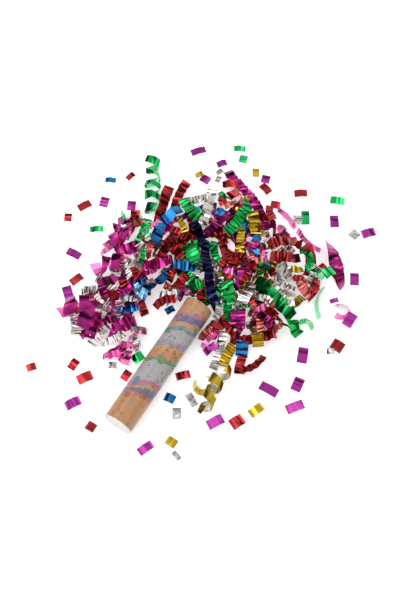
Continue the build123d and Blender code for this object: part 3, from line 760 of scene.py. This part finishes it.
@dataclass
class SheetMesh:
    """Corners, faces and finishes of thin foil sheets that share one object."""

    corners: list[Array] = field(default_factory=list)
    faces: list[list[int]] = field(default_factory=list)
    finishes: list[int] = field(default_factory=list)

    def add(self, top: Array, thickness: float, turned_over: bool = False) -> None:
        """Adds a sheet from a grid of points on its outer side, with its inner side, edges and ends.

        Args:
            top: the points, by row along the sheet and column across it.
            thickness: how far behind them the inner side lies.
            turned_over: whether the foil's back faces outwards.
        """
        rows, columns = top.shape[:2]
        normal = np.cross(np.gradient(top, axis=1), np.gradient(top, axis=0))
        back = top - thickness * normal / np.linalg.norm(normal, axis=2)[:, :, None]
        size = rows * columns
        upper = sum(map(len, self.corners)) + np.arange(size).reshape(rows, columns)
        self.corners += [top.reshape(-1, 3), back.reshape(-1, 3)]
        ring = [upper[:-1, :-1], upper[:-1, 1:], upper[1:, 1:], upper[1:, :-1]]
        outer = np.stack(ring, axis=2).reshape(-1, 4)
        inner = outer[:, (0, 3, 2, 1)] + size
        rim = np.concatenate([upper[:, 0], upper[-1, 1:], upper[-2::-1, -1], upper[0, -2:0:-1]])
        ahead = np.roll(rim, -1)
        edges = np.stack([rim, ahead, ahead + size, rim + size], axis=1)
        for faces, finish in ((outer, turned_over), (inner, not turned_over), (edges, False)):
            self.faces += faces.tolist()
            self.finishes += [int(finish)] * len(faces)

    def to_object(self, name: str, sharp_fold: float) -> Object:
        """Makes the object, smooth within each facet and sharp along its folds.

        Args:
            name: the object's name.
            sharp_fold: the angle from which a fold looks sharp.

        Returns:
            The object.
        """
        mesh = bpy.data.meshes.new(name)
        mesh.from_pydata(np.concatenate(self.corners).tolist(), [], self.faces)
        mesh.polygons.foreach_set("material_index", self.finishes)
        mesh.shade_smooth()
        mesh.set_sharp_from_angle(angle=sharp_fold)
        return add_object(name, mesh)


def cross_points(folds: Array, count: int) -> Array:
    """Spreads points evenly along each fold line of a strip.

    Args:
        folds: the strip's fold lines.
        count: how many points lie on each.

    Returns:
        Points by fold line, from left to right.
    """
    share = np.linspace(0, 1, count)[None, :, None]
    return folds[:, :1] * (1 - share) + folds[:, 1:] * share


def facet_points(folds: Array, count: int) -> Array:
    """Spreads points evenly over each facet of a strip.

    Args:
        folds: the strip's fold lines.
        count: how many points lie along and across a facet.

    Returns:
        Points by facet.
    """
    across = cross_points(folds, count)
    along = np.linspace(0, 1, count)[:, None, None, None]
    facets = across[:-1] * (1 - along) + across[1:] * along
    return facets.transpose(1, 0, 2, 3).reshape(len(folds) - 1, -1, 3)


def rounded(lines: Array, steps: int, crispness: float) -> Array:
    """Runs a smooth sheet through lines of points.

    Args:
        lines: the lines, each with its points.
        steps: how many rows lie from one line to the next.
        crispness: how far the rows are drawn back to flat facets, from 0 to 1.

    Returns:
        Points by row along the sheet and column across it.
    """
    padded = np.concatenate([2 * lines[:1] - lines[1:2], lines, 2 * lines[-1:] - lines[-2:-1]])
    before, first, last, after = padded[:-3], padded[1:-2], padded[2:-1], padded[3:]
    step = (np.arange(steps) / steps)[:, None, None, None]
    bend = (2 * before - 5 * first + 4 * last - after) * step**2
    ease = (3 * first - before - 3 * last + after) * step**3
    rows = first + ((last - before) * step + bend + ease) / 2
    rows = rows + crispness * (first + (last - first) * step - rows)
    return np.concatenate([rows.transpose(1, 0, 2, 3).reshape(-1, *lines.shape[1:]), lines[-1:]])


@dataclass(frozen=True)
class CutFoil:
    """Cut foil: how far a facet bows, for its length, and its breadth, for its solid's breadth."""

    kind: str
    bow: float
    breadth: float


class Cut(Enum):
    """The ways in which the charge's foil is cut, as the parts' names start."""

    STREAMER = CutFoil("streamers", bow=0.07, breadth=1.15)
    FLAKE = CutFoil("confetti", bow=0.1, breadth=1.0)


@dataclass
class FoilCharge:
    """The fired charge: pleated streamers and loose confetti of metallised foil.

    The foil is drawn thicker than real film, which has about 0.02 mm, so that its two sides stay apart.
    """

    nodes: dict[str, Object]
    foil_thickness: float = 0.12 * MM
    facet_steps: int = 4
    across_points: int = 5
    fold_shift: float = 0.2
    fold_lift: float = 0.9 * MM
    fold_roll: float = math.radians(16)
    fold_roll_shares: tuple[float, ...] = (0.5, 1.0, 0.5)
    softest_fold: float = 0.09
    ribbon_length: float = 170.0 * MM
    ribbon_breadth: float = 1.4
    coil_sag: float = 0.28
    coil_dent: float = 0.35 * MM
    coil_pleat: float = 0.5 * MM
    coil_crispness: float = 0.8
    coil_sway: float = 2.0 * MM
    coil_sway_shares: tuple[float, ...] = (0.2, 0.5, 0.65, 0.5, 0.2)
    end_cut: float = 0.7
    sharp_fold: float = math.radians(24)
    seed: int = 11
    finishes: dict[MetallisedFoil, bpy.types.Material] = field(default_factory=dict)
    strips: dict[str, list[Strip]] = field(default_factory=dict)

    def loosened(self, folds: Array, random: Random, breadth: float) -> Array:
        """Shifts, lifts and rolls a strip's fold lines unevenly.

        Args:
            folds: the strip's fold lines.
            random: the source of their unevenness.
            breadth: how broad to cut it, as a share of its solid's breadth; a long ribbon has its own share.

        Returns:
            The uneven fold lines.
        """
        spine = folds.mean(axis=1)
        length = np.linalg.norm(np.diff(spine, axis=0), axis=1).sum()
        breadth = self.ribbon_breadth if length > self.ribbon_length else breadth
        folds = spine[:, None] + breadth * (folds - spine[:, None])
        ahead = np.gradient(spine, axis=0)
        inner = len(folds) - 2
        folds[1:-1] += ahead[1:-1, None] * random.uniform(-self.fold_shift, self.fold_shift, (inner, 2, 1))
        folds[:, :, 2] += random.uniform(0, self.fold_lift, (len(folds), 2))
        if inner > 1:
            swing = random.uniform(-1, 1, len(folds) + len(self.fold_roll_shares) - 1)
            roll = np.convolve(swing, self.fold_roll_shares, "valid") * self.fold_roll
            half = np.linalg.norm(folds[:, 0] - folds[:, 1], axis=1) / 2
            rise = half * np.sin(roll)
            folds[:, :, 2] += np.stack([rise, -rise], axis=1) + np.abs(rise)[:, None]
        return folds

    def crease(self, folds: Array, random: Random, cut: CutFoil) -> Array:
        """Turns a strip's fold lines into a finely divided sheet with uneven, slightly bowed facets.

        Args:
            folds: the strip's fold lines.
            random: the source of its unevenness.
            cut: how it is cut.

        Returns:
            Points by row along the sheet and column across it.
        """
        lowest = folds[:, :, 2].min()
        lines = cross_points(self.loosened(folds, random, cut.breadth), self.across_points)
        off_middle = np.linspace(-0.5, 0.5, self.across_points)[None, :, None]
        softness = random.uniform(0, self.softest_fold)
        step = (np.arange(self.facet_steps) / self.facet_steps)[:, None, None]
        rows = []
        for first, last in zip(lines, lines[1:]):
            run = last - first
            normal = np.cross(first[-1] - first[0], run.mean(axis=0))
            normal /= np.linalg.norm(normal)
            length = np.linalg.norm(run.mean(axis=0))
            tilt = random.uniform(-1, 1) * off_middle
            arch = random.uniform(-cut.bow, cut.bow) * length * (1 + tilt) * 4 * step * (1 - step)
            rising = np.sign(run.mean(axis=0)[2])
            wave = -rising * softness * length * np.sin(2 * math.pi * step)
            rows.append(first + run * step + normal * (arch + wave))
        rows.append(lines[-1:])
        sheet = np.concatenate(rows)
        sheet[:, :, 2] += max(0.0, lowest - sheet[:, :, 2].min())
        return sheet

    def wind(self, folds: Array, random: Random) -> Array:
        """Turns a coil's fold lines into a rounded, crumpled sheet with its ends cut square.

        Args:
            folds: the coil's fold lines.
            random: the source of its unevenness.

        Returns:
            Points by row along the sheet and column across it.
        """
        lowest = folds[:, :, 2].min()
        offset = folds - folds.mean(axis=(0, 1))
        axis = np.linalg.svd(offset.reshape(-1, 3), full_matrices=False)[2][0]
        across = offset - (offset @ axis)[:, :, None] * axis
        radial = across / np.linalg.norm(across, axis=2, keepdims=True)
        pleat = self.coil_pleat * (-1.0) ** np.arange(len(folds))
        across[:, :, 2] = 0
        folds = folds + self.coil_sag * across + pleat[:, None, None] * radial
        sway = random.normal(0, self.coil_sway, (len(folds) + len(self.coil_sway_shares) - 1, 2, 3))
        folds = folds + sum(part * sway[i : i + len(folds)] for i, part in enumerate(self.coil_sway_shares))
        middle = folds.mean(axis=(0, 1))
        for end, beside in ((0, 1), (-1, -2)):
            outward = np.linalg.norm(folds[end] - middle, axis=1).argmax()
            folds[end, outward] += self.end_cut * (folds[beside, outward] - folds[end, outward])
        lines = cross_points(folds, self.across_points)
        lines = lines + random.normal(0, self.coil_dent, (len(lines), 1, 3))
        sheet = rounded(lines, self.facet_steps, self.coil_crispness)
        sheet[:, :, 2] += max(0.0, lowest - sheet[:, :, 2].min())
        return sheet

    def build(self) -> None:
        """Builds every foil part of the charge in place of its flat-faceted solid."""
        random = np.random.default_rng(self.seed)
        for foil, cut in itertools.product(Foil, Cut):
            node = f"{cut.value.kind}_{foil.key}"
            if node not in self.nodes:
                continue
            mesh = SheetMesh()
            self.strips[node] = read_strips(self.nodes[node])
            torn_start, torn_end = TORN_ENDS.get(foil, (0, 0))
            for strip in self.strips[node]:
                if strip.wound:
                    sheet = self.wind(strip.folds, random)
                    sheet = sheet[self.facet_steps * torn_start : len(sheet) - self.facet_steps * torn_end]
                else:
                    sheet = self.crease(strip.folds, random, cut.value)
                mesh.add(sheet, self.foil_thickness, strip.on_edge and foil in PALE_ON_EDGE)
            sheet = mesh.to_object(f"{cut.value.kind}_of_{foil.key}_foil", self.sharp_fold)
            self.finish(sheet, foil.flake_film if cut is Cut.FLAKE else foil)
            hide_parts(node)

    def finish(self, sheet: Object, foil: Foil) -> None:
        """Gives foil its coloured face and its back, and lets it lie with the barrel.

        Args:
            sheet: the object.
            foil: the foil that faces up.
        """
        for side in (foil.value, foil.value.reverse()):
            if side not in self.finishes:
                self.finishes[side] = side.material()
            sheet.data.materials.append(self.finishes[side])
        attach(sheet, "barrel")
        foil.slot
        LOG.info("%s: %d faces", sheet.name, len(sheet.data.polygons))


@dataclass
class HeightField:
    """How high the foil lies above the table, on a square grid."""

    corner: Array
    heights: Array
    cell: float

    def cells(self, points: Array) -> tuple[Array, Array]:
        """Finds the grid cells that points lie over.

        Args:
            points: the points.

        Returns:
            Each one's cell along x, and along y.
        """
        column, row = ((points[:, :2] - self.corner) / self.cell).astype(int).T
        limit = self.heights.shape
        return np.clip(column, 0, limit[0] - 1), np.clip(row, 0, limit[1] - 1)

    def raise_to(self, points: Array) -> None:
        """Notes that foil lies at these points."""
        np.maximum.at(self.heights, self.cells(points), points[:, 2])


@dataclass(frozen=True)
class ShredZone:
    """An oval, in millimetres, in which torn lengths of streamer fill the gaps between the long ones.

    The foils of its mix take turns. So much of each shred lies over bare table, and so many lie face down.
    """

    middle: Pair
    extents: Pair
    count: int
    mix: str
    bare_share: float = 0.4
    turned_share: float = 0.35

    @property
    def foils(self) -> list[Foil]:
        """The foils that the mix names."""
        return [Foil[name.upper()] for name in self.mix.split()]


SHRED_ZONES = (
    ShredZone(
        (352, 14), (106, 122), 260, "red magenta red silver red green red magenta gold", bare_share=0.5
    ),
    ShredZone((180, 132), (84, 48), 5, "magenta", turned_share=0.5),
    ShredZone((300, -84), (74, 50), 48, "red gold red silver magenta red"),
    ShredZone((284, -96), (28, 16), 7, "red magenta red silver", bare_share=0.0),
    ShredZone((246, 46), (32, 20), 10, "silver red blue magenta"),
    # Navy shreds are painted shade: the blue foil's darker copy
    ShredZone((236, -46), (36, 18), 10, "red navy magenta red silver"),
    ShredZone((302, 159), (42, 46), 34, "red silver red green magenta red magenta green"),
    ShredZone((246, 178), (34, 28), 12, "magenta", turned_share=0.5),
    ShredZone((126, 68), (34, 20), 9, "magenta magenta silver", turned_share=0.8),
    ShredZone((378, -120), (34, 30), 18, "red red green red gold"),
    ShredZone((374, -50), (32, 28), 18, "red red magenta red green", bare_share=0.0),
    ShredZone((334, -22), (24, 22), 9, "red magenta red", bare_share=0.0),
    ShredZone((200, 100), (32, 14), 8, "blue blue silver blue magenta", bare_share=0.0),
)


@dataclass
class FoilShreds:
    """Torn lengths of streamer that fill the burst between the long ones."""

    charge: FoilCharge
    table_height: float
    cell: float = 1.5 * MM
    layer_gap: float = 0.5 * MM
    drape_slope: float = 0.5
    bare_below: float = 1.5 * MM
    tallest: float = 47.0 * MM
    tube_end: float = 250.0 * MM
    tube_flank: float = 26.5 * MM
    torn_length: Pair = (18.0 * MM, 38.0 * MM)
    torn_width: Pair = (8.0 * MM, 13.5 * MM)
    pleat_run: Pair = (4.5 * MM, 7.5 * MM)
    pleat_steepness: Pair = (0.35, 0.8)
    fewest_pleats: int = 3
    sharpest_bend: float = math.radians(80)
    steepest_lean: float = math.radians(70)
    probe_points: int = 7
    cover_points: int = 14
    tries: int = 12
    seed: int = 5
    meshes: dict[Foil, SheetMesh] = field(default_factory=dict)
    random: Random = field(init=False)
    laid_foil: HeightField = field(init=False)

    def __post_init__(self) -> None:
        """Starts the random draws and notes where the long strips lie."""
        self.random = np.random.default_rng(self.seed)
        low, high = (np.array(corner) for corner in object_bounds())
        size = np.ceil((high - low)[:2] / self.cell).astype(int) + 1
        self.laid_foil = HeightField(low[:2], np.zeros(size), self.cell)
        for strips in self.charge.strips.values():
            for strip in strips:
                points = facet_points(strip.folds, self.cover_points).reshape(-1, 3)
                self.laid_foil.raise_to(points - (0, 0, self.table_height))

    def torn_strip(self, place: Array) -> Array:
        """Shapes one short pleated strip about a place on the table.

        Args:
            place: the strip's middle.

        Returns:
            Its fold lines, the lowest at the table.
        """
        random = self.random
        length = random.uniform(*self.torn_length)
        width = random.uniform(*self.torn_width)
        run = random.uniform(*self.pleat_run)
        count = max(self.fewest_pleats, round(length / run))
        bend = random.uniform(-self.sharpest_bend, self.sharpest_bend)
        heading = random.uniform(0, 2 * math.pi) + bend * np.linspace(-0.5, 0.5, count + 1)
        ahead = np.stack([np.cos(heading), np.sin(heading)], axis=1)
        middle = np.cumsum(ahead, axis=0) * run
        middle += place - middle.mean(axis=0)
        lean = np.linspace(*random.uniform(-self.steepest_lean, self.steepest_lean, 2), count + 1)
        side = np.stack([-ahead[:, 1], ahead[:, 0]], axis=1) * (width / 2 * np.cos(lean))[:, None]
        height = random.uniform(*self.pleat_steepness) * run * (np.arange(count + 1) % 2)
        tilt = width / 2 * np.sin(lean)
        left = np.column_stack([middle + side, height + tilt])
        right = np.column_stack([middle - side, height - tilt])
        folds = np.stack([left, right], axis=1)
        folds[:, :, 2] -= folds[:, :, 2].min() - self.charge.foil_thickness
        return folds

    def settled(self, folds: Array, bare_share: float) -> Array | None:
        """Lays a strip over what is there, if enough of it lies over bare table and it doesn't lie too high.

        Args:
            folds: its fold lines.
            bare_share: how much of the strip has to lie over bare table.

        Returns:
            Its fold lines at their heights above the table, or None where it doesn't belong.
        """
        facets = facet_points(folds, self.probe_points)
        flat = facets.reshape(-1, 3)
        if ((flat[:, 0] < self.tube_end) & (np.abs(flat[:, 1]) < self.tube_flank)).any():
            return None
        ground = self.laid_foil.heights[self.laid_foil.cells(flat)]
        if (ground < self.bare_below).mean() < bare_share:
            return None
        needed = (ground + self.layer_gap - flat[:, 2]).reshape(len(facets), -1).max(axis=1)
        lift = np.maximum(np.append(needed, needed[-1]), np.append(needed[0], needed))
        middle = folds.mean(axis=1)[:, :2]
        apart = np.linalg.norm(middle[:, None] - middle[None], axis=2)
        lift = np.maximum((lift[None] - self.drape_slope * apart).max(axis=1), 0.0)
        folds = folds.copy()
        folds[:, :, 2] += lift[:, None]
        return folds if folds[:, :, 2].max() < self.tallest else None

    def fill(self, zone: ShredZone) -> None:
        """Lays shreds in a zone until it has its count, or the tries for it are used up.

        Args:
            zone: the zone.
        """
        laid = 0
        for _ in range(self.tries * zone.count):
            angle = self.random.uniform(0, 2 * math.pi)
            reach = math.sqrt(self.random.uniform(0, 1)) * np.array(zone.extents) * MM
            place = np.array(zone.middle) * MM + reach * (math.cos(angle), math.sin(angle))
            folds = self.settled(self.torn_strip(place), zone.bare_share)
            if folds is None:
                continue
            self.laid_foil.raise_to(facet_points(folds, self.cover_points).reshape(-1, 3))
            sheet = self.charge.crease(folds + (0, 0, self.table_height), self.random, Cut.STREAMER.value)
            turned_over = self.random.uniform() < zone.turned_share
            mesh = self.meshes.setdefault(zone.foils[laid % len(zone.foils)], SheetMesh())
            mesh.add(sheet, self.charge.foil_thickness, turned_over)
            laid += 1
            if laid == zone.count:
                break
        LOG.info("zone about %s mm: %d shreds", zone.middle, laid)

    def build(self) -> None:
        """Builds the shreds, one object for each foil."""
        for zone in SHRED_ZONES:
            self.fill(zone)
        for foil, mesh in self.meshes.items():
            shreds = mesh.to_object(f"shreds_of_{foil.key}_foil", self.charge.sharp_fold)
            self.charge.finish(shreds, foil)


@dataclass(frozen=True)
class Lamp:
    """A soft square lamp: where it hangs and how wide it is, in metres, and its power in watts."""

    name: str
    place: tuple[float, float, float]
    size: float
    power: float


LAMPS = (
    Lamp("overhead_lamp", (-0.3, 0.6, 1.5), 1.1, 8.0),
    Lamp("side_lamp", (1.3, -0.5, 1.0), 0.7, 3.0),
    Lamp("end_lamp", (-1.2, 0.1, 0.6), 0.45, 2.6),
)

# The dome's light by height: white sweep at the horizon, dim walls and a bright ceiling
DOME = (
    (0.0, WHITE), (0.15, WHITE), (0.17, "#141416"), (0.42, "#3C3C40"), (0.62, "#E0E0E2"), (1.0, WHITE),
)


@dataclass
class Studio:
    """White table, soft light from above and the camera that looks down on the popper."""

    table_height: float
    look_at: tuple[float, float, float] = (264.2 * MM, 9.5 * MM, -25.0 * MM)
    heading: Pair = (0.843, 0.537)
    elevation: float = math.radians(67)
    distance: float = 1.8
    field_of_view: float = math.radians(32)
    sensor_height: float = 36.0
    table_size: float = 60.0
    table_colour: str = "#F7F7F7"
    table_lift: float = 0.4
    dome_strength: float = 1.06

    def build_table(self) -> None:
        """Lays the white table, lifted to white for the eye and for metal, with the popper's soft shadow."""
        half = self.table_size / 2
        mesh = bpy.data.meshes.new("table")
        corners = [(-half, -half, 0), (half, -half, 0), (half, half, 0), (-half, half, 0)]
        mesh.from_pydata(corners, [], [(0, 1, 2, 3)])
        table = add_object("table", mesh)
        table.location = (self.look_at[0], self.look_at[1], self.table_height)
        surface = bpy.data.materials.new("white_table")
        add = node_adder(surface)
        rays = add("LightPath")
        seen = rays["Is Camera Ray"]
        for other in ("Is Glossy Ray", "Is Transmission Ray"):
            seen = add("Math", {0: seen, 1: rays[other]}, operation="MAXIMUM")[0]
        lift = add("Math", {0: seen, 1: self.table_lift}, operation="MULTIPLY")[0]
        matt = add("BsdfDiffuse", {"Color": linear(self.table_colour)})
        glow = add("Emission", {"Color": linear(WHITE), "Strength": lift})
        both = add("AddShader", {0: matt[0], 1: glow[0]})
        add("OutputMaterial", {"Surface": both[0]})
        paint(table, surface)
        table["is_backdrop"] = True

    def build_light(self) -> None:
        """Sets the studio's dome and its lamps."""
        world = bpy.data.worlds.new("studio_dome")
        bpy.context.scene.world = world
        add = node_adder(world)
        direction = add("TexCoord")["Generated"]
        height = add("SeparateXYZ", {"Vector": direction})["Z"]
        dome = add("ValToRGB", {"Fac": height}, stops=DOME)["Color"]
        sky = add("Background", {"Color": dome, "Strength": self.dome_strength})
        add("OutputWorld", {"Surface": sky[0]})
        for lamp in LAMPS:
            light = bpy.data.lights.new(lamp.name, "AREA")
            light.size = lamp.size
            light.energy = lamp.power
            holder = add_object(lamp.name, light)
            holder.location = lamp.place
            aim = Vector(self.look_at) - Vector(lamp.place)
            holder.rotation_euler = aim.to_track_quat("-Z", "Y").to_euler()

    def build_camera(self) -> None:
        """Sets the camera at the photograph's height and direction."""
        level = math.cos(self.elevation)
        ahead, aside = self.heading
        aim = Vector((level * ahead, level * aside, -math.sin(self.elevation))).normalized()
        lens = bpy.data.cameras.new("camera")
        lens.sensor_fit = "VERTICAL"
        lens.sensor_height = self.sensor_height
        lens.lens = self.sensor_height / (2 * math.tan(self.field_of_view / 2))
        camera = add_object("camera", lens)
        place = Vector(self.look_at) - aim * self.distance
        turn = aim.to_track_quat("-Z", "Y").to_matrix().to_4x4()
        camera.matrix_world = Matrix.Translation(place) @ turn
        bpy.context.scene.camera = camera


def main() -> None:
    """Builds and dresses the popper, then the studio round it."""
    logging.basicConfig(level=logging.INFO, format="%(message)s")
    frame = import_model()
    cad_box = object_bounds()
    bpy.context.scene.view_settings.view_transform = "Standard"
    nodes = frame["nodes"]
    PaperTube(nodes).dress()
    mechanism = TwistRelease(nodes)
    mechanism.dress()
    mechanism.build_spring()
    table_height = float(cad_box[0][2])
    charge = FoilCharge(nodes)
    charge.build()
    FoilShreds(charge, table_height).build()
    studio = Studio(table_height)
    studio.build_table()
    studio.build_light()
    studio.build_camera()
    visual_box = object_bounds()
    boxes = [[[float(v) for v in corner] for corner in box] for box in (cad_box, visual_box)]


if __name__ == "__main__":
    main()
